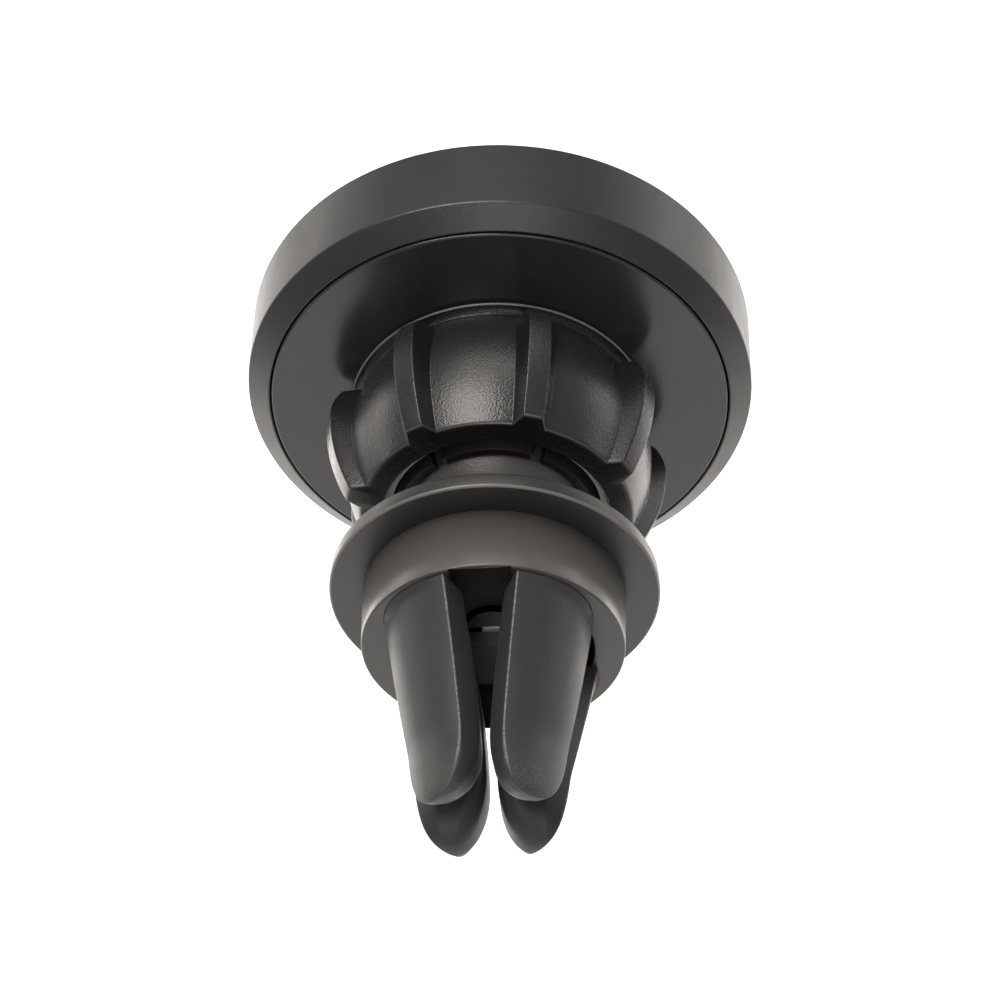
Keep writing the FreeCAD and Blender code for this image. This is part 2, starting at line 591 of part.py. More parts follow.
def lock_nut():
    """A barrel-shaped nut with eight ribs, closed in to a mouth round the ball."""
    rim_under = NUT_RIM_FACE + NUT_RIM
    waist = NUT_MOUTH_FACE - NUT_WAIST
    body = turned("lock_nut", [
        (NUT_BORE, NUT_RIM_FACE),
        (NUT_RIM_RADIUS, NUT_RIM_FACE),
        (NUT_RIM_RADIUS, rim_under),
        (NUT_TOP_RADIUS, rim_under + NUT_RIM_SLOPE),
        (NUT_BELLY_RADIUS, NUT_RIM_FACE + NUT_BELLY),
        (NUT_WAIST_RADIUS, waist),
        (NUT_END_RADIUS, NUT_MOUTH_FACE),
        (NUT_MOUTH, NUT_MOUTH_FACE),
        (NUT_MOUTH, NUT_MOUTH_FACE - NUT_LIP),
        (NUT_BORE, NUT_CONE - THREAD_END),
    ])
    foot = cross_sketch(body, NUT_MOUTH_FACE, "rib_outline")
    outline(foot, [
        (-RIB_HALF_FOOT, RIB_FOOT_RADIUS),
        (RIB_HALF_FOOT, RIB_FOOT_RADIUS),
        (RIB_HALF_TOP, RIB_REACH),
        (-RIB_HALF_TOP, RIB_REACH),
    ])
    rib = extrude(body, "Pad", foot, NUT_BACK - NUT_FRONT - RIB_TOP_GAP, False)
    around(body, [rib], RIB_COUNT)
    curve = []
    for i, (height, radius) in enumerate(RIB_CURVE, start=1):
        height = spread(f"rib_height_{i}", height, f"nut rim to point {i} of the curve over the ribs")
        radius = spread(f"rib_radius_{i}", radius, f"radius of that curve at point {i}")
        curve.append((radius, NUT_RIM_FACE + height))
    outside = RIB_REACH + SPARE
    envelope = new_sketch(body, "XY_Plane", "rib_envelope")
    outline(envelope, curve + [(outside, curve[-1][1]), (outside, curve[0][1])])
    before = body.Shape.Volume
    trim = body.newObject("PartDesign::Groove", "rib_trim")
    trim.Profile = envelope
    trim.ReferenceAxis = (envelope, ["V_Axis"])
    trim.Angle = 360.0
    doc.recompute()
    if body.Shape.Volume > before - 1e-3:
        raise RuntimeError("rib_trim cuts nothing")
    body.Placement = FreeCAD.Placement(
        FreeCAD.Vector(0, 0, 0), FreeCAD.Rotation(FreeCAD.Vector(0, 1, 0), RIB_TURN.value)
    )
    return body


def slip_ring():
    """A plastic ring between the nut's cone and the socket's taper."""
    return turned("slip_ring", [
        (SLIP_BACK_INNER, -SLIP_BACK),
        (SLIP_BACK_OUTER, -SLIP_BACK),
        (SLIP_FRONT_OUTER, -SLIP_FRONT),
        (SLIP_FRONT_INNER, -SLIP_FRONT),
    ])


# ---------------------------------------------------------------- clip

def ball_stud():
    """Ball, neck and flange in one piece, drilled from the flange for its screw."""
    neck_angle = math.degrees(math.asin(STUD_NECK_RADIUS.value / BALL_RADIUS.value))
    centre = (as_size(0), BALL_MIDDLE)
    hole_end = HEAD_SEAT - STUD_SCREW_LENGTH - STUD_HOLE_SPARE
    return turned(
        "ball_stud",
        [
            (0, BALL_MIDDLE - BALL_RADIUS),
            on_sphere(BALL_RADIUS, neck_angle),
            (STUD_NECK_RADIUS, STUD_BACK - STUD_FLARE),
            (STUD_NECK_RADIUS + STUD_FLARE, STUD_BACK),
            (FLANGE_RADIUS, STUD_BACK),
            (FLANGE_RADIUS, STUD_FACE),
            (STUD_HOLE, STUD_FACE),
            (STUD_HOLE, hole_end),
            (0, hole_end),
        ],
        {0: (centre, BALL_RADIUS)},
    )


def clip_collar():
    """A round cup whose recess the prongs grow out of."""
    body = turned("clip_collar", [
        (CLEAR_HOLE, STUD_FACE),
        (COLLAR_BASE_RADIUS, STUD_FACE),
        (COLLAR_END_RADIUS, 0),
        (RECESS_RADIUS, 0),
        (RECESS_RADIUS, RECESS_FLOOR),
        (CLEAR_HOLE, RECESS_FLOOR),
    ])
    sketch = cross_sketch(body, as_size(0), "notch")
    half = NOTCH_WIDTH * 0.5
    outline(sketch, [
        (-half, -NOTCH_REACH),
        (half, -NOTCH_REACH),
        (half, NOTCH_REACH),
        (-half, NOTCH_REACH),
    ])
    cut(body, sketch, RECESS_DEPTH, False)
    return body


def prong_carrier():
    """The stiff disc at the bottom of the recess that the four cores spring from."""
    outer = RECESS_RADIUS - CARRIER_ROOM
    return turned("prong_carrier", [
        (CLEAR_HOLE, RECESS_FLOOR),
        (outer, RECESS_FLOOR),
        (outer, CARRIER_FACE),
        (SINK_RADIUS, CARRIER_FACE),
        (SINK_RADIUS, SINK_FLOOR),
        (CLEAR_HOLE, SINK_FLOOR),
    ])


def screw_washer():
    return turned("screw_washer", [
        (CLEAR_HOLE, SINK_FLOOR),
        (WASHER_RADIUS, SINK_FLOOR),
        (WASHER_RADIUS, HEAD_SEAT),
        (CLEAR_HOLE, HEAD_SEAT),
    ])


def stud_screw():
    head_face = HEAD_SEAT + STUD_SCREW_RISE
    body = turned("stud_screw", [
        (0, HEAD_SEAT - STUD_SCREW_LENGTH),
        (STUD_SCREW_SHANK, HEAD_SEAT - STUD_SCREW_LENGTH),
        (STUD_SCREW_SHANK, HEAD_SEAT),
        (STUD_SCREW_HEAD, HEAD_SEAT),
        (STUD_SCREW_HEAD, head_face),
        (0, head_face),
    ])
    sketch = cross_sketch(body, head_face, "drive_slot")
    half = DRIVE_WIDTH * 0.5
    reach = STUD_SCREW_HEAD + SPARE
    outline(sketch, [(-reach, -half), (reach, -half), (reach, half), (-reach, half)])
    cut(body, sketch, DRIVE_DEPTH, False)
    return body


# ---------------------------------------------------------------- prongs

def lofted(label, sections):
    """A body lofted through outlines square to the axis: each is a height and its (X, Z) points."""
    body = new_body(label)
    sketches = []
    for i, (height, points) in enumerate(sections):
        sketch = cross_sketch(body, height, f"{label}_section_{i + 1}")
        outline(sketch, points)
        sketches.append(sketch)
    loft = body.newObject("PartDesign::AdditiveLoft", label + "_loft")
    loft.Profile = sketches[0]
    loft.Sections = sketches[1:]
    loft.Ruled = True
    doc.recompute()
    return body


def square(place_x, place_z, width):
    half = width * 0.5
    return [
        (place_x - half, place_z - half),
        (place_x + half, place_z - half),
        (place_x + half, place_z + half),
        (place_x - half, place_z + half),
    ]


def prong_core(label):
    """The stiff tongue inside a prong, leaning in towards the axis."""
    return lofted(label, [
        (-CORE_ROOT, square(CORE_ROOT_X, CORE_ROOT_Z, CORE_ROOT_WIDTH)),
        (CORE_LENGTH - CORE_ROOT, square(CORE_TIP_PLACE, CORE_TIP_PLACE, CORE_TIP_WIDTH)),
    ])


def prong_outline(name, values):
    """A prong's section: a quarter of a rounded block, its outer face between two long edges."""
    sizes = []
    for (term, note), value in zip(SECTION_TERMS, values):
        sizes.append(spread(f"{name}_{term}", value, f"prong's {name}: {note}"))
    gap, reach_x, reach_z, edge, bulge, drop = sizes
    corner = gap + INNER_CHAMFER
    return [
        (corner, gap),
        (reach_x - drop, gap),
        (reach_x, edge),
        (bulge, bulge),
        (edge, reach_z),
        (gap, reach_z - drop),
        (gap, corner),
    ]


def shrunk(points, outward, sideways):
    """An outline drawn in towards the tip's middle: outward is away from the axis, sideways is round it."""
    straight = (outward + sideways) / 2
    crossed = (outward - sideways) / 2
    moved = []
    for x, z in points:
        from_x = x - TIP_X
        from_z = z - TIP_Z
        moved.append((
            TIP_X + from_x * straight + from_z * crossed,
            TIP_Z + from_z * straight + from_x * crossed,
        ))
    return moved


def prong_sleeve(label, core):
    """The soft prong: a block that narrows to a pinch, then rounds off, moulded over its core."""
    pinch = prong_outline("pinch", PINCH_SECTION)
    sections = [
        (PRONG_BASE, prong_outline("foot", FOOT_SECTION)),
        (PRONG_SLOT, prong_outline("slot", SLOT_SECTION)),
        (PRONG_PINCH, pinch),
    ]
    rounding = PRONG_LENGTH - PRONG_PINCH
    for share, outward, sideways in TIP_ROUNDING:
        sections.append((PRONG_PINCH + rounding * share, shrunk(pinch, outward, sideways)))
    body = lofted(label + "_block", sections)
    sleeve = doc.addObject("Part::Cut", label)
    sleeve.Label = label
    sleeve.Base = body
    sleeve.Tool = core
    return sleeve


def mirrored(label, source, normal):
    copy = doc.addObject("Part::Mirroring", label)
    copy.Label = label
    copy.Source = source
    copy.Normal = normal
    copy.Base = FreeCAD.Vector(0, 0, 0)
    return copy


def prongs():
    """Four prongs: the first is drawn, the others are its mirror images."""
    core = prong_core("prong_core_1")
    sleeve = prong_sleeve("prong_sleeve_1", core)
    pieces = [core, sleeve]
    sideways = FreeCAD.Vector(1, 0, 0)
    upright = FreeCAD.Vector(0, 0, 1)
    for name, source in (("prong_core", core), ("prong_sleeve", sleeve)):
        second = mirrored(f"{name}_2", source, sideways)
        third = mirrored(f"{name}_3", second, upright)
        fourth = mirrored(f"{name}_4", source, upright)
        pieces += [second, third, fourth]
    return pieces


# ---------------------------------------------------------------- build, check and write

parts = [
    head_shell(),
    back_cover(),
    face_pad(),
    pad_adhesive(),
    magnets(),
    magnet_holder(),
    yoke_plate(),
    ball_socket(),
    socket_screws(),
    ball_seat(),
    friction_ring(),
    slip_ring(),
    lock_nut(),
    ball_stud(),
    clip_collar(),
    prong_carrier(),
    screw_washer(),
    stud_screw(),
]
parts += prongs()
doc.recompute()

for thing in doc.Objects:
    if "Invalid" in thing.State or "Error" in thing.State:
        raise RuntimeError(f"{thing.Label}: {thing.State}")
for part in parts:
    if part.Shape.isNull() or not part.Shape.isValid():
        raise RuntimeError(f"{part.Label} has no valid shape")

os.makedirs("parts", exist_ok=True)
for part in parts:
    part.Shape.exportStep(os.path.join("parts", part.Label + ".step"))
    print(part.Label, len(part.Shape.Solids), round(part.Shape.Volume, 2))
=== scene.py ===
"""Looks of a magnetic car phone mount that pinches an air-vent blade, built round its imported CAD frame.

Sizes here are millimetres in the mount's frame: +Y runs towards the prong tips and +Z is up in use.
The floor and the lights, which lie well away from the mount, are placed and sized in metres.
"""

import json
import math

import bmesh
import bpy
from mathutils import Matrix, Vector


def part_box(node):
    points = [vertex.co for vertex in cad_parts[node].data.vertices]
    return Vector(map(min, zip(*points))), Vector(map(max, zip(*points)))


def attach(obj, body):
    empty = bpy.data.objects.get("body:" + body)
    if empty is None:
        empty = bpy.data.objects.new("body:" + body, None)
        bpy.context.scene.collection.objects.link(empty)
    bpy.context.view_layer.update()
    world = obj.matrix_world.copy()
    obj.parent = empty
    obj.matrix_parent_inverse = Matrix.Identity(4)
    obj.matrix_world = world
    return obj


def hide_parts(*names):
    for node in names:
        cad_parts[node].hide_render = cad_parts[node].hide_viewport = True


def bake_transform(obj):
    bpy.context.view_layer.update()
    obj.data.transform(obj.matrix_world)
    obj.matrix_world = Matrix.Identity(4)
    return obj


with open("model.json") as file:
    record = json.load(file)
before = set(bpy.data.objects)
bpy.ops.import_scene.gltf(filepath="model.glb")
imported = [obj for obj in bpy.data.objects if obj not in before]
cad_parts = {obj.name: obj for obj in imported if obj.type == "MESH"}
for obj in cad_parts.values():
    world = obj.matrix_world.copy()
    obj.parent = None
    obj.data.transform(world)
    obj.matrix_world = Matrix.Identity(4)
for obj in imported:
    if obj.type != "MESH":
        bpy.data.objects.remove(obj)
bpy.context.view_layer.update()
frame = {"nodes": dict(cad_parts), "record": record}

MM = 0.001
ROUND = 224  # steps round a turned piece
ARC = 6  # steps in a rounded edge

# ---------------------------------------------------------------- sizes read from the frame


def lowest(node, axis):
    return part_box(node)[0]["XYZ".index(axis)] / MM


def highest(node, axis):
    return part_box(node)[1]["XYZ".index(axis)] / MM


HEAD_FRONT_RADIUS = highest("head_shell", "X")
HEAD_RADIUS = HEAD_FRONT_RADIUS - 0.25
RIM_FACE = lowest("head_shell", "Y")
COVER_FACE = highest("back_cover", "Y")
COVER_BACK = lowest("back_cover", "Y")
COVER_RADIUS = highest("back_cover", "X")
SEAM_RADIUS = COVER_RADIUS + 0.13
COVER_HOLE = 12.3
CHAMFER_RISE = 1.5
SOCKET_TOP = COVER_FACE - 1.3
SOCKET_UNDER = SOCKET_TOP - 2.0
SCREWS = 4
SCREW_CIRCLE = 16.7
PAD_FACE = lowest("face_pad", "Y")
PAD_BACK = highest("face_pad", "Y")
PAD_RADIUS = highest("face_pad", "X")
BALL_MIDDLE = -18.5
BALL_RADIUS = BALL_MIDDLE - lowest("ball_stud", "Y")
NUT_RIM_FACE = lowest("lock_nut", "Y")
NUT_MOUTH_FACE = highest("lock_nut", "Y")
NUT_TURN = 26.0
FLANGE_RADIUS = highest("ball_stud", "X")
FLANGE_FACE = highest("ball_stud", "Y")
FLANGE_BACK = FLANGE_FACE - 1.42
COLLAR_RADIUS = highest("clip_collar", "X")
COLLAR_END_RADIUS = COLLAR_RADIUS - 0.2
CARRIER_BACK = lowest("prong_carrier", "Y")
TIP = highest("prong_sleeve_1", "Y")

# ---------------------------------------------------------------- mesh helpers


def fillet(before, corner, after, radius, steps=ARC):
    """Points of an arc of the given radius that rounds the corner between two straight runs."""
    back = Vector(before) - Vector(corner)
    ahead = Vector(after) - Vector(corner)
    if radius <= 0 or back.length < 1e-6 or ahead.length < 1e-6:
        return [tuple(corner)]
    turn = math.pi - back.angle(ahead)
    if turn < 0.02:
        return [tuple(corner)]
    reach = min(radius * math.tan(turn / 2), back.length * 0.49, ahead.length * 0.49)
    radius = reach / math.tan(turn / 2)
    middle_way = (back.normalized() + ahead.normalized()).normalized()
    centre = Vector(corner) + middle_way * (radius / math.cos(turn / 2))
    first = Vector(corner) + back.normalized() * reach - centre
    last = Vector(corner) + ahead.normalized() * reach - centre
    points = []
    for i in range(steps + 1):
        share = i / steps
        a = math.sin((1 - share) * turn) / math.sin(turn)
        b = math.sin(share * turn) / math.sin(turn)
        points.append(tuple(centre + first * a + last * b))
    return points


def rounded(points):
    """A closed outline from (x, y, radius) corners."""
    line = []
    count = len(points)
    for i, (x, y, radius) in enumerate(points):
        before = points[i - 1][:2]
        after = points[(i + 1) % count][:2]
        line += fillet(before, (x, y), after, radius)
    return line


def arc(centre, radius, first, last, steps):
    """Points on a circle in the (radius, Y) plane; angles in degrees from +Y."""
    points = []
    for i in range(steps + 1):
        turn = math.radians(first + (last - first) * i / steps)
        points.append((centre[0] + radius * math.sin(turn), centre[1] + radius * math.cos(turn)))
    return points


def new_object(name, mesh):
    piece = bpy.data.objects.new(name, mesh)
    bpy.context.scene.collection.objects.link(piece)
    return piece


def from_rings(name, rings, closed):
    """A skin over rings of points in millimetres; a ring of one point is a pole."""
    bm = bmesh.new()
    made = [[bm.verts.new(Vector(p) * MM) for p in ring] for ring in rings]
    pairs = list(zip(made, made[1:]))
    if closed:
        pairs.append((made[-1], made[0]))
    for one, two in pairs:
        if len(one) == 1 and len(two) == 1:
            continue
        count = max(len(one), len(two))
        for i in range(count):
            j = (i + 1) % count
            corners = [one[i % len(one)]]
            if len(one) > 1:
                corners.append(one[j])
            if len(two) > 1:
                corners.append(two[j])
            corners.append(two[i % len(two)])
            bm.faces.new(corners)
    bmesh.ops.recalc_face_normals(bm, faces=bm.faces)
    mesh = bpy.data.meshes.new(name)
    bm.to_mesh(mesh)
    bm.free()
    mesh.shade_smooth()
    return new_object(name, mesh)


def ring_at(radius, height, steps=ROUND):
    """A ring round the Y axis, starting upwards and turning towards +X."""
    if radius < 1e-6:
        return [(0.0, height, 0.0)]
    return [
        (radius * math.sin(2 * math.pi * i / steps), height, radius * math.cos(2 * math.pi * i / steps))
        for i in range(steps)
    ]


def lathe(name, profile, steps=ROUND):
    """A solid turned about the Y axis from a closed (radius, Y) outline."""
    poles = [i for i, (radius, _) in enumerate(profile) if radius < 1e-6]
    if poles:
        start = next(i for i in poles if profile[i - 1][0] < 1e-6)
        profile = profile[start:] + profile[:start]
    rings = [ring_at(radius, height, steps) for radius, height in profile]
    return from_rings(name, rings, closed=not poles)


def even_normals(piece):
    """Keeps flat faces flat beside their small rounded edges."""
    weighted = piece.modifiers.new("even_normals", "WEIGHTED_NORMAL")
    weighted.weight = 90
    weighted.keep_sharp = True


def paint_lighter(piece, marks):
    """Marks how much lighter each point of a piece is painted, from 0 to 1: painted light and highlights,
    and a faint pale patch on the prong tips.
    """
    painted_light_and_pale_patch = piece.data.attributes.new("painted_light_and_pale_patch", "FLOAT", "POINT")
    painted_light_and_pale_patch.data.foreach_set("value", marks)


def paint_lighter_where(piece, share):
    """Marks each point by share(radius, Y), from 0 to 1."""
    paint_lighter(piece, [share(math.hypot(v.co.x, v.co.z) / MM, v.co.y / MM) for v in piece.data.vertices])


def paint_shade_where(piece, share):
    """Marks each face with painted shade by share(radius, Y, its slope along Y, its slope round the
    axis).
    """
    marks = []
    for face in piece.data.polygons:
        x, y, z = face.center / MM
        radius = math.hypot(x, z)
        across = abs(face.normal.x * z - face.normal.z * x) / radius
        marks.append(share(radius, y, face.normal.y, across))
    painted_shade = piece.data.attributes.new("painted_shade", "FLOAT", "FACE")
    painted_shade.data.foreach_set("value", marks)


def block(name, low, high):
    """A plain box used only to cut other pieces."""
    bm = bmesh.new()
    bmesh.ops.create_cube(bm, size=1.0)
    size = (Vector(high) - Vector(low)) * MM
    middle = (Vector(high) + Vector(low)) * MM / 2
    place = Matrix.Translation(middle) @ Matrix.Diagonal((*size, 1))
    bmesh.ops.transform(bm, matrix=place, verts=bm.verts)
    mesh = bpy.data.meshes.new(name)
    bm.to_mesh(mesh)
    bm.free()
    return new_object(name, mesh)


def carve(piece, tools, operation="DIFFERENCE"):
    """Cuts the tools out of the piece for good, or joins them to it."""
    for tool in tools:
        boolean = piece.modifiers.new("carve", "BOOLEAN")
        boolean.operation = operation
        boolean.solver = "EXACT"
        boolean.object = tool
        bake(piece)
        bpy.data.objects.remove(tool)
    piece.data.shade_smooth()


def screw_tools(name, profile):
    """The same turned tool at each of the socket's screws."""
    tools = []
    for i in range(SCREWS):
        tool = lathe(name, profile, 40)
        tool.data.transform(Matrix.Translation((SCREW_CIRCLE * MM, 0.0, 0.0)))
        tool.data.transform(Matrix.Rotation(2 * math.pi * i / SCREWS, 4, "Y"))
        tools.append(tool)
    return tools


def bake(piece):
    """Replaces the piece's mesh by what its modifiers make of it."""
    graph = bpy.context.evaluated_depsgraph_get()
    mesh = bpy.data.meshes.new_from_object(piece.evaluated_get(graph))
    piece.modifiers.clear()
    piece.data = mesh


# ---------------------------------------------------------------- materials


class Nodes:
    """A material's node tree, with short ways to add and join nodes."""

    def __init__(self, name):
        self.material = bpy.data.materials.new(name)
        self.material.use_nodes = True
        self.tree = self.material.node_tree
        self.shader = self.tree.nodes["Principled BSDF"]
        self.place = self.add("ShaderNodeTexCoord").outputs["Object"]

    def add(self, kind, **settings):
        node = self.tree.nodes.new(kind)
        for key, value in settings.items():
            setattr(node, key, value)
        return node

    def join(self, source, target):
        self.tree.links.new(source, target)

    def noise(self, size, detail=3.0, rough=0.5, stretch=None):
        """Noise with features about size millimetres across."""
        texture = self.add("ShaderNodeTexNoise")
        texture.inputs["Scale"].default_value = 1.0 / (size * MM)
        texture.inputs["Detail"].default_value = detail
        texture.inputs["Roughness"].default_value = rough
        if stretch:
            mapping = self.add("ShaderNodeMapping")
            mapping.inputs["Scale"].default_value = stretch
            self.join(self.place, mapping.inputs["Vector"])
            self.join(mapping.outputs["Vector"], texture.inputs["Vector"])
        else:
            self.join(self.place, texture.inputs["Vector"])
        return texture.outputs["Fac"]

    def grains(self, size):
        """Small pebbles, as on spark-eroded plastic."""
        texture = self.add("ShaderNodeTexVoronoi", feature="SMOOTH_F1")
        texture.inputs["Scale"].default_value = 1.0 / (size * MM)
        texture.inputs["Smoothness"].default_value = 0.6
        self.join(self.place, texture.inputs["Vector"])
        return texture.outputs["Distance"]

    def ranged(self, value, low, high, first=0.3, last=0.7):
        """Maps a noise value onto low to high."""
        spread = self.add("ShaderNodeMapRange")
        spread.inputs["From Min"].default_value = first
        spread.inputs["From Max"].default_value = last
        spread.inputs["To Min"].default_value = low
        spread.inputs["To Max"].default_value = high
        self.join(value, spread.inputs["Value"])
        return spread.outputs["Result"]

    def sum_of(self, one, two, share):
        """one + two * share."""
        node = self.add("ShaderNodeMath", operation="MULTIPLY_ADD")
        node.inputs[1].default_value = share
        self.join(two, node.inputs[0])
        self.join(one, node.inputs[2])
        return node.outputs["Value"]

    def mixed(self, share, one, two):
        """A colour between two, by share."""
        node = self.add("ShaderNodeMix", data_type="RGBA")
        self.join(share, node.inputs["Factor"])
        for socket, colour in ((node.inputs[6], one), (node.inputs[7], two)):
            if isinstance(colour, tuple):
                socket.default_value = (*colour, 1.0)
            else:
                self.join(colour, socket)
        return node.outputs[2]

    def bump(self, value, depth, where=None):
        """Bumps depth millimetres deep; where is how much of them each place gets."""
        node = self.add("ShaderNodeBump")
        node.inputs["Distance"].default_value = depth * MM
        if where:
            self.join(where, node.inputs["Strength"])
        self.join(value, node.inputs["Height"])
        self.join(node.outputs["Normal"], self.shader.inputs["Normal"])

    def below(self, height, soft=0.1):
        """1 behind the given height on the Y axis and 0 in front of it."""
        place = self.add("ShaderNodeSeparateXYZ")
        self.join(self.place, place.inputs["Vector"])
        return self.ranged(place.outputs["Y"], 1.0, 0.0, (height - soft) * MM, height * MM)

    def marks(self, name):
        """The marks of this name set on the mesh, 0 where there are none."""
        return self.add("ShaderNodeAttribute", attribute_name=name).outputs["Fac"]

    def colour(self, value):
        self.join(value, self.shader.inputs["Base Color"])

    def roughness(self, value):
        self.join(value, self.shader.inputs["Roughness"])


def shade(colour, factor):
    return tuple(c * factor for c in colour)


def moulded(name, colour, rough, grain, depth, painted_light_and_pale_patch=2.0, spec=0.5, cloudy=1.0, grained_below=None):
    """Moulded plastic: fine pebbled grain, cloudy gloss, painted light where marked, and painted shade
    with less gloss where marked.
    """
    n = Nodes(name)
    clouds = n.noise(9.0, 3.0)
    change = 0.08 * cloudy
    ground = n.mixed(n.ranged(clouds, 0.0, 1.0), shade(colour, 1 - change), shade(colour, 1 + change))
    # Painted light: marked points are painted lighter, a little unevenly.
    patchy = n.add("ShaderNodeMath", operation="MULTIPLY")
    n.join(n.marks("painted_light_and_pale_patch"), patchy.inputs[0])
    n.join(n.ranged(n.noise(1.5, 4.0), 0.88, 1.0), patchy.inputs[1])
    ground = n.mixed(patchy.outputs["Value"], ground, shade(colour, painted_light_and_pale_patch))
    # Painted shade: marked faces are painted darker.
    n.colour(n.mixed(n.marks("painted_shade"), ground, shade(colour, 0.3)))
    gloss = n.ranged(n.noise(3.0, 4.0), rough * (1 - 0.06 * cloudy), rough * (1 + 0.08 * cloudy))
    scuffs = n.ranged(n.noise(0.9, 6.0, 0.65, (1.0, 0.18, 1.0)), 0.0, 0.05 * cloudy, 0.5, 0.75)
    n.roughness(n.sum_of(gloss, scuffs, 1.0))
    grained = n.below(grained_below) if grained_below is not None else None
    n.bump(n.sum_of(n.grains(grain), n.noise(grain * 0.6, 2.0), 0.5), depth, grained)
    # Painted shade also takes away most of the specular on marked faces.
    shaded_spec = n.ranged(n.marks("painted_shade"), spec, spec * 0.25, 0.0, 1.0)
    n.join(shaded_spec, n.shader.inputs["Specular IOR Level"])
    return n.material


def silicone(name, colour, rough, grain, depth, lighter_by=1.6):
    """Matte soft-touch silicone with a dry, very fine grain, painted highlights along its marked edges
    and a faint pale patch where its tips are marked.
    """
    n = Nodes(name)
    clouds = n.noise(5.0, 4.0)
    ground = n.mixed(n.ranged(clouds, 0.0, 1.0), shade(colour, 0.93), shade(colour, 1.07))
    specks = n.ranged(n.noise(0.25, 3.0), 0.0, 1.0, 0.55, 0.8)
    ground = n.mixed(specks, ground, shade(colour, 1.25))
    # Painted highlight on the marked ridges, and a faint speckled pale patch on the marked tips.
    lighter_share = n.add("ShaderNodeMath", operation="MULTIPLY")
    n.join(n.marks("painted_light_and_pale_patch"), lighter_share.inputs[0])
    n.join(n.ranged(n.noise(0.2, 3.0), 0.3, 1.0, 0.4, 0.6), lighter_share.inputs[1])
    n.colour(n.mixed(lighter_share.outputs["Value"], ground, shade(colour, lighter_by)))
    n.roughness(n.ranged(n.noise(1.2, 4.0), rough * 0.94, rough * 1.06))
    n.bump(n.sum_of(n.grains(grain), n.noise(grain * 3.0, 3.0), 0.8), depth)
    n.shader.inputs["Specular IOR Level"].default_value = 0.4
    n.shader.inputs["Sheen Weight"].default_value = 0.04
    n.shader.inputs["Sheen Roughness"].default_value = 0.45
    return n.material


def plated(name, colour, rough):
    """Plated metal with faint brushing and cloudy gloss."""
    n = Nodes(name)
    n.colour(n.mixed(n.ranged(n.noise(2.0, 4.0), 0.0, 1.0), shade(colour, 0.9), shade(colour, 1.05)))
    brushing = n.noise(0.3, 3.0, 0.6, (0.1, 1.0, 1.0))
    n.roughness(n.ranged(brushing, rough * 0.8, rough * 1.3))
    n.bump(brushing, 0.004)
    n.shader.inputs["Metallic"].default_value = 1.0
    return n.material


def blackened(name, rough):
    """Blackened steel with a painted glint: a bright metal patch in the middle of the stud screw's drive
    slot.
    """
    n = Nodes(name)
    dark, painted_glint = (0.018, 0.017, 0.0165), (0.9, 0.88, 0.85)
    place = n.add("ShaderNodeSeparateXYZ")
    n.join(n.place, place.inputs["Vector"])
    painted_light_and_pale_patch = n.ranged(place.outputs["Y"], 0.0, 1.0, -3.4 * MM, -3.3 * MM)
    bright_middle = (("X", 0.25, 0.7), ("Z", 0.0, 0.31))  # its centre and half its length on each axis
    for axis, middle, half in bright_middle:
        off = n.add("ShaderNodeMath", operation="SUBTRACT")
        n.join(place.outputs[axis], off.inputs[0])
        off.inputs[1].default_value = middle * MM
        beside = n.add("ShaderNodeMath", operation="ABSOLUTE")
        n.join(off.outputs["Value"], beside.inputs[0])
        both = n.add("ShaderNodeMath", operation="MULTIPLY")
        n.join(painted_light_and_pale_patch, both.inputs[0])
        within = n.ranged(beside.outputs["Value"], 1.0, 0.0, (half - 0.02) * MM, half * MM)
        n.join(within, both.inputs[1])
        painted_light_and_pale_patch = both.outputs["Value"]
    # The slot's middle is painted as a bright glint.
    n.colour(n.mixed(painted_light_and_pale_patch, dark, painted_glint))
    n.roughness(n.ranged(n.noise(0.8, 3.0), rough * 0.9, rough * 1.1))
    n.bump(n.noise(0.3, 3.0), 0.004)
    n.shader.inputs["Metallic"].default_value = 1.0
    return n.material


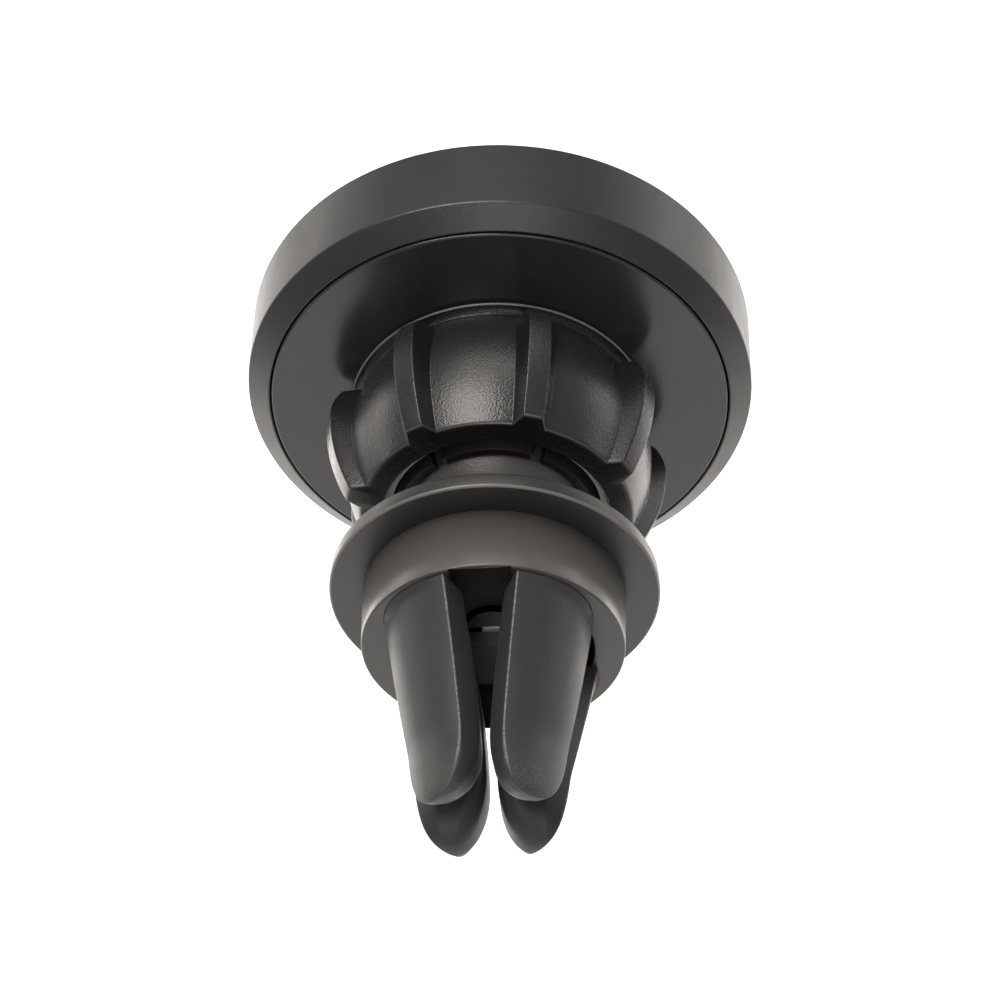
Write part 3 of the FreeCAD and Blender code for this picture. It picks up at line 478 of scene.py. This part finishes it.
BLACK = (0.0205, 0.0192, 0.018)
STUD_NECK_END = -9.5
MATERIALS = {
    "head_plastic": moulded("head_plastic", shade(BLACK, 0.7), 0.36, 0.16, 0.006, painted_light_and_pale_patch=2.5),
    "cover_plastic": moulded("cover_plastic", shade(BLACK, 0.9), 0.2, 0.5, 0.0004, cloudy=0.2),
    "nut_plastic": moulded(
        "nut_plastic", shade(BLACK, 0.7), 0.27, 0.16, 0.02, painted_light_and_pale_patch=8.0, grained_below=-14.3
    ),
    "stud_plastic": moulded(
        "stud_plastic", shade(BLACK, 0.9), 0.34, 0.13, 0.018, painted_light_and_pale_patch=6.0, grained_below=STUD_NECK_END
    ),
    "collar_plastic": moulded(
        "collar_plastic", shade(BLACK, 1.3), 0.32, 0.14, 0.004, painted_light_and_pale_patch=3.5, cloudy=0.5
    ),
    # Painted shade: the socket's plastic is much darker and less glossy than the other black plastic, as
    # it sits in shade in the nut's mouth.
    "socket_plastic": moulded("socket_plastic", shade(BLACK, 0.35), 0.5, 0.16, 0.004, spec=0.25),
    "inner_plastic": moulded("inner_plastic", shade(BLACK, 0.45), 0.6, 0.2, 0.004, spec=0.25),
    "slip_plastic": moulded("slip_plastic", (0.42, 0.41, 0.38), 0.4, 0.3, 0.006, painted_light_and_pale_patch=1.1),
    "pad_rubber": silicone("pad_rubber", (0.016, 0.016, 0.016), 0.72, 0.12, 0.014),
    "prong_silicone": silicone("prong_silicone", (0.021, 0.0225, 0.0212), 0.45, 0.10, 0.008, lighter_by=6.0),
    "grip_rubber": silicone("grip_rubber", (0.02, 0.02, 0.02), 0.7, 0.15, 0.01),
    "adhesive": silicone("adhesive", (0.1, 0.1, 0.1), 0.8, 0.3, 0.02),
    "magnet_nickel": plated("magnet_nickel", (0.66, 0.64, 0.6), 0.22),
    "yoke_steel": plated("yoke_steel", (0.5, 0.5, 0.51), 0.36),
    "screw_steel": blackened("screw_steel", 0.4),
}


def dress(piece, body, node, name):
    """Gives a piece its material and body and hides the CAD node it stands for."""
    piece.data.materials.clear()
    piece.data.materials.append(MATERIALS[name])
    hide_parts(node)
    if body:
        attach(piece, body)


# ---------------------------------------------------------------- head


def make_head_shell():
    """Cup with a slightly drafted wall, a back chamfer and a thin seam lip round the cover."""
    pad_room = PAD_RADIUS + 0.2
    pad_floor = RIM_FACE + 0.5
    floor = pad_floor + 1.2
    inside = 20.9
    cover_seat = 19.3
    shell_edge = COVER_FACE - CHAMFER_RISE
    piece = lathe("head_shell_body", rounded([
        (0.0, pad_floor, 0.0),
        (pad_room, pad_floor, 0.15),
        (pad_room, RIM_FACE, 0.25),
        (HEAD_FRONT_RADIUS, RIM_FACE, 0.3),
        (HEAD_RADIUS, shell_edge, 0.28),
        (SEAM_RADIUS, COVER_FACE, 0.12),
        (SEAM_RADIUS, COVER_BACK, 0.0),
        (cover_seat, COVER_BACK, 0.0),
        (cover_seat, COVER_BACK - 1.0, 0.0),
        (inside, COVER_BACK - 2.4, 0.0),
        (inside, floor, 0.0),
        (0.0, floor, 0.0),
    ]), 288)
    foot = pad_floor + 0.9
    outer = 1.7
    pilot = 0.95
    pilot_end = SOCKET_UNDER - 3.0
    boss = [(0.0, foot), (outer, foot), (outer, SOCKET_UNDER), (pilot, SOCKET_UNDER)]
    boss += [(pilot, pilot_end), (0.0, pilot_end)]
    carve(piece, screw_tools("screw_boss", boss), "UNION")
    even_normals(piece)
    dress(piece, "head", "head_shell", "head_plastic")


def make_back_cover():
    """Flat glossy disc let into the head, its outer edge finely rounded."""
    piece = lathe("back_cover_disc", rounded([
        (COVER_HOLE, COVER_BACK, 0.0),
        (COVER_RADIUS, COVER_BACK, 0.0),
        (COVER_RADIUS, COVER_FACE, 0.22),
        (COVER_HOLE, COVER_FACE, 0.1),
    ]), 288)
    even_normals(piece)
    dress(piece, "head", "back_cover", "cover_plastic")


def make_face_pad():
    """Rubber pad with a soft shoulder and shallow grip rings round its rim."""
    half = 0.16
    rings = []
    for i in range(3):
        middle = PAD_RADIUS - 1.9 - 0.8 * i
        rings.append((middle + half, PAD_FACE, 0.05))
        rings.append((middle, PAD_FACE + 0.12, 0.1))
        rings.append((middle - half, PAD_FACE, 0.05))
    corners = [(0.0, PAD_BACK, 0.0), (PAD_RADIUS, PAD_BACK, 0.1), (PAD_RADIUS, PAD_FACE, 0.55)]
    piece = lathe("face_pad_rubber", rounded(corners + rings + [(0.0, PAD_FACE, 0.0)]), 288)
    even_normals(piece)
    dress(piece, "head", "face_pad", "pad_rubber")


# ---------------------------------------------------------------- nut and ball joint

RIBS = 8
RIB_CIRCLE = 13.9  # radius at which places round the nut are measured
RIB_START = NUT_RIM_FACE + 1.35
RIB_FULL = RIB_START + 0.3
RIB_HALF_TOP = 0.85
RIB_HALF_FOOT = 1.7
RIB_CREST = -22.6
RIB_CREST_RADIUS = 15.05
RIB_BENDS = (0.125, 0.0315)  # how fast a rib's back falls away behind its crest and in front of it
BELLY = -20.9
BELLY_RADIUS = 13.3
BELLY_BENDS = (0.034, 0.0378)  # the same for the panels, from the nut's belly


def smooth(value, low, high):
    """0 below low, 1 above high and an S-shaped rise between them."""
    share = min(max((value - low) / (high - low), 0.0), 1.0)
    return share * share * (3 - 2 * share)


def bowed(height, crest, radius, bends):
    """The radius at this height of a barrel whose largest radius is at its crest."""
    return radius - bends[height >= crest] * (height - crest) ** 2


def panel_radius(height):
    return bowed(height, BELLY, BELLY_RADIUS, BELLY_BENDS)


def rib_radius(height):
    return bowed(height, RIB_CREST, RIB_CREST_RADIUS, RIB_BENDS)


def nut_angles():
    """Angles round the nut, closer together on the ribs' flanks."""
    step = 2 * math.pi / RIBS
    top = [0.0, 0.2, 0.4, 0.56, 0.66, 0.74]
    flank = [0.8, 0.86, 0.92, 1.0, 1.1, 1.22, 1.34, 1.46, 1.56, 1.64, 1.7, 1.76, 1.84, 2.0]
    panel = [2.2 + 0.25 * i for i in range(13)]
    half = [x / RIB_CIRCLE for x in top + flank + panel]
    sector = [-x for x in reversed(half[1:])] + half
    return [step * i + x for i in range(RIBS) for x in sector]


def rib_share(angle):
    """How much of a rib's height stands at this angle: 1 on its top, 0 past its foot."""
    step = 2 * math.pi / RIBS
    away = abs((angle + step / 2) % step - step / 2) * RIB_CIRCLE
    ramp = min(max((RIB_HALF_FOOT - away) / (RIB_HALF_FOOT - RIB_HALF_TOP), 0.0), 1.0)
    ease = 0.16
    return ramp * (1 - ease) + smooth(ramp, 0.0, 1.0) * ease


def make_lock_nut():
    """Barrel with eight slant-sided ribs, a plain rim and a mouth that closes round the ball."""
    angles = nut_angles()

    def ring(height, radius, inward=0.0):
        points = []
        for angle in angles:
            reach = radius
            if reach is None:
                share = rib_share(angle) * smooth(height, RIB_START, RIB_FULL)
                panel = panel_radius(height)
                reach = panel + (rib_radius(height) - panel) * share
            reach -= inward
            turn = angle + math.radians(NUT_TURN)
            points.append((reach * math.sin(turn), height, reach * math.cos(turn)))
        return points

    def rounded_rings(before, corner, after, radius, steps=ARC):
        return [ring(y, r) for r, y in fillet(before, corner, after, radius, steps)]

    def ribbed_rings(first, last, steps):
        return [ring(first + (last - first) * i / steps, None) for i in range(steps + 1)]

    rim = 13.27
    rim_front = -26.5
    rim_root = (12.4, -26.35)
    rim_edge = 0.12
    bore = 11.05
    bore_end = -17.9
    mouth = 9.6
    mouth_back = -14.7
    mouth_start = (11.5, NUT_MOUTH_FACE)
    end_edge = 0.28
    last_straight = NUT_MOUTH_FACE - 0.3
    rings = rounded_rings((bore, NUT_RIM_FACE), (rim, NUT_RIM_FACE), (rim, rim_front), rim_edge, 4)
    rings += rounded_rings((rim, NUT_RIM_FACE), (rim, rim_front), rim_root, rim_edge)
    rings += [ring(rim_front + 0.03, rim - 0.16)]
    rings += [ring(y, panel_radius(y)) for y in (-26.32, -26.25, -26.1, -25.8)]
    rings += [ring(RIB_START - 0.04, None)]
    rings += ribbed_rings(RIB_START, RIB_FULL, 10)
    rings += ribbed_rings(RIB_FULL, last_straight, 44)[1:]
    for i in range(1, ARC + 1):
        turn = math.pi / 2 * i / ARC
        height = NUT_MOUTH_FACE - end_edge + end_edge * math.sin(turn)
        rings.append(ring(height, None, end_edge * (1 - math.cos(turn))))
    rings += rounded_rings(mouth_start, (mouth, NUT_MOUTH_FACE), (mouth, mouth_back), 0.2)
    rings += [ring(mouth_back, mouth), ring(bore_end, bore), ring(NUT_RIM_FACE, bore)]
    piece = from_rings("lock_nut_body", rings, closed=True)

    def painted_light_and_pale_patch(radius, y):
        """Painted highlight: bright on the rim's front edge, fainter on the rounded ends of the panels
        and ribs.
        """
        if math.hypot(radius - rim + 0.04, y - rim_front + 0.04) < 0.1:
            return 1.0
        return 0.4 * (radius > 11.5 and 0.03 < NUT_MOUTH_FACE - y < 0.2)

    def painted_shade(radius, y, forward, across):
        """Painted shade under the rim and on the mouth's face, and nearly as much on the ribs' flanks."""
        under_rim = NUT_RIM_FACE + 0.1 < y < rim_front + 0.26 and 12.0 < radius < rim - 0.1
        on_mouth = y > NUT_MOUTH_FACE - 0.06 and forward > 0.6
        return 0.65 if under_rim or on_mouth else 0.6 * smooth(across, 0.25, 0.6)

    paint_lighter_where(piece, painted_light_and_pale_patch)
    paint_shade_where(piece, painted_shade)
    even_normals(piece)
    dress(piece, "nut", "lock_nut", "nut_plastic")


def make_ball_socket():
    """Threaded, slotted cup round the ball."""
    grip = BALL_RADIUS + 0.15
    pocket = grip + 1.05
    foot_inner = 6.0
    foot_outer = 9.0
    flange = 18.9
    neck = 12.0
    neck_end = COVER_FACE + 0.05
    thread = 10.95
    thread_end = -18.0
    taper = (10.3, thread_end + 0.4)
    lip = (8.3, -14.3)
    yoke_face = highest("yoke_plate", "Y")
    profile = [(0.0, SOCKET_UNDER), (foot_inner, SOCKET_UNDER), (foot_inner, yoke_face)]
    profile += [(foot_outer, yoke_face), (foot_outer, SOCKET_UNDER), (flange, SOCKET_UNDER)]
    profile += [(flange, SOCKET_TOP), (neck, SOCKET_TOP), (neck, neck_end), (thread, neck_end)]
    turns = 5
    pitch = 1.5
    groove = thread - 0.45
    for i in range(turns):
        start = COVER_FACE + 0.4 + pitch * i
        profile += [(thread, start), (groove, start + 0.5), (groove, start + 0.7), (thread, start + 1.2)]
    profile += [(thread, thread_end), taper]
    profile += fillet(taper, lip, (7.56, lip[1]), 0.2)
    profile += fillet(lip, (7.58, lip[1]), (8.1, -15.4), 0.12)
    profile += arc((0.0, BALL_MIDDLE), grip, 64.0, 92.0, 14)
    profile += arc((0.0, BALL_MIDDLE), pocket, 92.0, 180.0, 40)
    piece = lathe("ball_socket_body", profile, 160)
    reach = 14.0
    half = 0.45
    slots = []
    for i in range(3):
        slot = block("finger_cut", (-reach, -24.0, -half), (reach, -13.5, half))
        slot.data.transform(Matrix.Rotation(math.radians(60.0 * i), 4, "Y"))
        slots.append(slot)
    shank = 1.05
    head = 1.8
    sink = SOCKET_TOP - 1.0
    hole = [(0.0, SOCKET_UNDER - 1.0), (shank, SOCKET_UNDER - 1.0), (shank, sink), (head, sink)]
    hole += [(head, SOCKET_TOP + 1.0), (0.0, SOCKET_TOP + 1.0)]
    carve(piece, slots + screw_tools("screw_hole", hole))
    even_normals(piece)
    dress(piece, "head", "ball_socket", "socket_plastic")


def make_ball_stud():
    """Ball, waisted neck and flange, the flange's edges softly rounded."""
    neck = 4.0
    neck_start = (neck, -10.6)
    neck_root = (neck, FLANGE_BACK)
    back_edge = (FLANGE_RADIUS, FLANGE_BACK)
    front_edge = (FLANGE_RADIUS, FLANGE_FACE)
    hole = 1.25
    hole_end = -13.0
    neck_angle = math.degrees(math.asin(neck / BALL_RADIUS))
    ball = arc((0.0, BALL_MIDDLE), BALL_RADIUS, 180.0, neck_angle + 3.0, 60)
    ball[0] = (0.0, BALL_MIDDLE - BALL_RADIUS)
    rest = fillet(ball[-1], neck_start, (neck, -8.3), 1.2, 8)
    rest += fillet((neck, -9.4), neck_root, back_edge, 1.4, 10)
    rest += fillet(neck_root, back_edge, front_edge, 0.3)
    rest += fillet(back_edge, front_edge, (11.0, FLANGE_FACE), 0.22)
    rest += [(hole, FLANGE_FACE), (hole, hole_end), (0.0, hole_end)]
    piece = lathe("ball_stud_body", ball + rest, 256)

    def painted_light_and_pale_patch(radius, y):
        """Painted light: faint on the ball and neck, a bright painted highlight on the flange's front
        edge.
        """
        if y < STUD_NECK_END:
            return 0.45
        return float(math.hypot(radius - FLANGE_RADIUS + 0.07, y - FLANGE_FACE + 0.07) < 0.12)

    paint_lighter_where(piece, painted_light_and_pale_patch)
    even_normals(piece)
    dress(piece, "clip", "ball_stud", "stud_plastic")


# ---------------------------------------------------------------- clip


def make_clip_collar():
    """Collar with a recess and a notch across it for the blade's way in."""
    bore = 1.6
    recess = 8.0
    floor = CARRIER_BACK
    piece = lathe("clip_collar_body", rounded([
        (bore, FLANGE_FACE, 0.0),
        (COLLAR_RADIUS, FLANGE_FACE, 0.0),
        (COLLAR_END_RADIUS, 0.0, 0.18),
        (recess, 0.0, 0.15),
        (recess, floor, 0.0),
        (bore, floor, 0.0),
    ]), 256)
    half = 2.3
    reach = 10.2
    notch = block("collar_notch", (-half, floor, -reach), (half, 2.0, reach))
    carve(piece, [notch])
    # Painted light: the collar's outer cone is painted lighter.
    paint_lighter_where(piece, lambda radius, y: 0.7 * (radius > COLLAR_END_RADIUS - 0.04 and y < -0.1))
    # Painted shade in the recess and the notch.
    paint_shade_where(piece, lambda radius, y, forward, across: 0.35 * (y < -0.2 and radius < recess + 2.0))
    even_normals(piece)
    dress(piece, "clip", "clip_collar", "collar_plastic")


def three_point(y, first, second, third):
    """The smooth curve through (y, value) at three stations, read at y."""
    total = 0.0
    stations = (first, second, third)
    for i, (yi, value) in enumerate(stations):
        weight = 1.0
        for j, (yj, _) in enumerate(stations):
            if j != i:
                weight *= (y - yj) / (yi - yj)
        total += value * weight
    return total


FOOT = 0.3
FLARE_END = 0.7
SLOT = 4.8
PINCH = 10.5
TIP_MIDDLE = Vector((3.25, 3.8))
RIDGE_STEPS = 6
FACE_STEPS = 12


def rounding(share, power):
    """How much of its width a rounded tip keeps this far along it; a higher power is blunter."""
    return max(1 - share ** power, 0.0) ** (1 / power)


def prong_section(y):
    """A prong's outline square to the axis: a quarter block with a flattish face between two ridges."""
    past = max(y - PINCH, 0.0)
    at = min(y, PINCH) + 1.2 * (1 - math.exp(-past / 1.2))

    def between(a, b, c):
        return three_point(at, (FOOT, a), (SLOT, b), (PINCH, c))

    gap = between(1.6, 0.95, 0.4)
    reach_x = between(8.1, 7.3, 6.15)
    reach_z = between(9.7, 8.0, 6.1)
    edge = between(2.8, 2.25, 1.65)
    flare = 0.3 * max(1 - y / FLARE_END, 0.0) ** 2
    bulge = between(6.75, 5.75, 4.5) + flare
    drop = between(2.2, 2.0, 1.8)
    share = past / (TIP - PINCH)
    outward = rounding(share, 1.9)
    sideways = rounding(share, 2.5)
    ridge = 0.14 + 0.9 * (1 - outward)
    soft = 0.8 + 1.5 * (1 - outward)
    top = Vector((edge, reach_z))
    side = Vector((reach_x, edge))
    control = Vector((bulge, bulge)) * 2 - (top + side) / 2
    face = []
    for i in range(FACE_STEPS + 1):
        t = i / FACE_STEPS
        face.append(top * (1 - t) ** 2 + control * 2 * t * (1 - t) + side * t * t)
    under = Vector((reach_x - drop, gap))
    inner = Vector((gap, gap))
    over = Vector((gap, reach_z - drop))
    line = fillet(over, face[0], face[1], ridge, RIDGE_STEPS)
    line += [tuple(p) for p in face[1:-1]]
    line += fillet(face[-2], face[-1], under, ridge, RIDGE_STEPS)
    line += fillet(face[-1], under, inner, soft, 4)
    line += fillet(under, inner, over, soft + 0.4, 6)
    line += fillet(inner, over, face[0], soft, 4)
    away = Vector((1, 1)).normalized()
    along = Vector((1, -1)).normalized()
    drawn = []
    for point in line:
        offset = Vector(point) - TIP_MIDDLE
        place = TIP_MIDDLE + away * offset.dot(away) * outward + along * offset.dot(along) * sideways
        drawn.append(tuple(place))
    return drawn


def mark_ridges(piece, count, heights):
    """Marks a painted highlight along the middle of a prong's two ridges and, more faintly, a pale patch
    on the end of its outer face.
    """
    second = RIDGE_STEPS + FACE_STEPS
    lines = set(range(1, RIDGE_STEPS)) | set(range(second + 1, second + RIDGE_STEPS))
    marks = [0.0]
    for height in heights:
        fade = 1.0 - smooth(height, PINCH + 2.5, TIP - 1.2)
        tip = 0.2 * smooth(height, PINCH + 2.0, TIP - 0.8)
        marks += [fade if i in lines else tip * (i < second) for i in range(count)]
    paint_lighter(piece, marks + [0.0])


def centre(ring):
    """The middle of a ring's points."""
    return [sum(point[k] for point in ring) / len(ring) for k in range(3)]


def make_prong(number, side_x, side_z):
    """One soft prong, reaching out from the collar."""
    heights = [0.0, 0.1, 0.2, 0.3, 0.42, 0.56, FLARE_END]
    steps = 40
    heights += [FLARE_END + (PINCH - FLARE_END) * i / steps for i in range(1, steps + 1)]
    steps = 26
    heights += [PINCH + (TIP - PINCH) * math.sin(math.pi / 2 * i / steps) for i in range(1, steps)]
    rings = []
    for height in heights:
        rings.append([(side_x * x, height, side_z * z) for x, z in prong_section(height)])
    first = centre(rings[0])
    last = centre(rings[-1])
    rings = [[tuple(first)]] + rings + [[(last[0], TIP, last[2])]]
    piece = from_rings(f"prong_{number}_silicone", rings, closed=False)
    mark_ridges(piece, len(rings[1]), heights)
    even_normals(piece)
    dress(piece, None, f"prong_sleeve_{number}", "prong_silicone")
    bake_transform(piece)


# ---------------------------------------------------------------- pieces that stay as CAD made them


def dress_inner_pieces():
    """The pieces inside keep their CAD shape, with finely rounded edges and their own material."""
    shown = {item["node"]: item["material_slot"] for item in frame["record"]["subparts"]}
    for node, piece in frame["nodes"].items():
        if piece.hide_render:
            continue
        piece.data.materials.clear()
        piece.data.materials.append(MATERIALS[shown[node]])
        bevel = piece.modifiers.new("fine_edges", "BEVEL")
        bevel.width = 0.06 * MM
        bevel.segments = 2
        bevel.limit_method = "ANGLE"
        bevel.angle_limit = math.radians(40)
        piece.data.shade_smooth()
        even_normals(piece)


# ---------------------------------------------------------------- camera, floor and lights


def aim(thing, place, target):
    thing.location = place
    thing.rotation_mode = "QUATERNION"
    thing.rotation_quaternion = (Vector(target) - Vector(place)).to_track_quat("-Z", "Y")


def make_camera():
    """A 67 mm lens 155 mm from the mount, in front of the prongs and above, a little turned."""
    data = bpy.data.cameras.new("camera")
    data.sensor_width = 36.0
    data.lens = 67.1
    camera = bpy.data.objects.new("camera", data)
    bpy.context.scene.collection.objects.link(camera)
    place = Vector((-13.65, 91.4, 116.18)) * MM
    target = Vector((-0.59, -13.66, 2.91)) * MM
    aim(camera, place, target)
    roll = Matrix.Rotation(math.radians(-8.25), 4, "Z").to_quaternion()
    camera.rotation_quaternion = camera.rotation_quaternion @ roll
    bpy.context.scene.camera = camera


def softbox(name, place, target, width, height, power, tint):
    """A rectangular area light that faces its target."""
    light = bpy.data.lights.new(name, "AREA")
    light.shape = "RECTANGLE"
    light.size = width
    light.size_y = height
    light.energy = power
    light.color = tint
    lamp = bpy.data.objects.new(name, light)
    bpy.context.scene.collection.objects.link(lamp)
    aim(lamp, place, target)


def make_floor():
    """A plain pale floor 160 mm under the mount, which hangs in the air as a vent holds it."""
    depth = -0.16
    reach = 3.0
    bm = bmesh.new()
    bmesh.ops.create_grid(bm, x_segments=8, y_segments=8, size=reach)
    bmesh.ops.translate(bm, verts=bm.verts, vec=(0, 0, depth))
    mesh = bpy.data.meshes.new("floor")
    bm.to_mesh(mesh)
    bm.free()
    floor = new_object("floor", mesh)
    n = Nodes("floor_paper")
    n.colour(n.mixed(n.ranged(n.noise(40.0, 3.0), 0.0, 1.0), (0.9, 0.9, 0.9), (0.93, 0.93, 0.93)))
    n.shader.inputs["Roughness"].default_value = 0.9
    floor.data.materials.append(n.material)


def light_the_room():
    world = bpy.data.worlds.new("room")
    world.use_nodes = True
    world.node_tree.nodes["Background"].inputs["Color"].default_value = (1.0, 1.0, 1.0, 1.0)
    world.node_tree.nodes["Background"].inputs["Strength"].default_value = 0.4
    bpy.context.scene.world = world
    middle = (0.0, -0.01, 0.0)
    warm = (1.0, 0.945, 0.9)
    softbox("overhead", (0.1, -0.01, 0.44), middle, 0.26, 0.26, 2.0, warm)
    softbox("back_high", (0.0, -0.28, 0.45), middle, 0.4, 0.12, 0.5, warm)
    softbox("back_left", (0.45, -0.42, 0.0), middle, 0.5, 0.5, 0.6, warm)
    softbox("back_right", (-0.45, -0.42, 0.0), middle, 0.5, 0.5, 0.45, warm)
    softbox("front", (-0.05, 0.45, 0.4), middle, 0.3, 0.3, 0.8, warm)
    softbox("floor_left", (0.27, -0.2, 0.03), (0.27, -0.199, -0.16), 0.25, 0.4, 1.5, warm)
    softbox("floor_right", (-0.27, -0.2, 0.03), (-0.27, -0.199, -0.16), 0.25, 0.4, 1.3, warm)
    softbox("spot_left", (0.23, -0.19, -0.11), (0.23, -0.189, -0.16), 0.06, 0.06, 0.13, warm)
    softbox("spot_right", (-0.23, -0.19, -0.11), (-0.23, -0.189, -0.16), 0.06, 0.06, 0.1, warm)
    softbox("floor_front", (0.0, 0.3, 0.03), (0.0, 0.301, -0.16), 0.45, 0.25, 0.5, warm)
    bpy.context.scene.view_settings.view_transform = "Standard"


# ---------------------------------------------------------------- build

make_head_shell()
make_back_cover()
make_face_pad()
make_lock_nut()
make_ball_socket()
make_ball_stud()
make_clip_collar()
for number, (side_x, side_z) in enumerate([(1, 1), (-1, 1), (-1, -1), (1, -1)], start=1):
    make_prong(number, side_x, side_z)
dress_inner_pieces()
make_camera()
make_floor()
light_the_room()
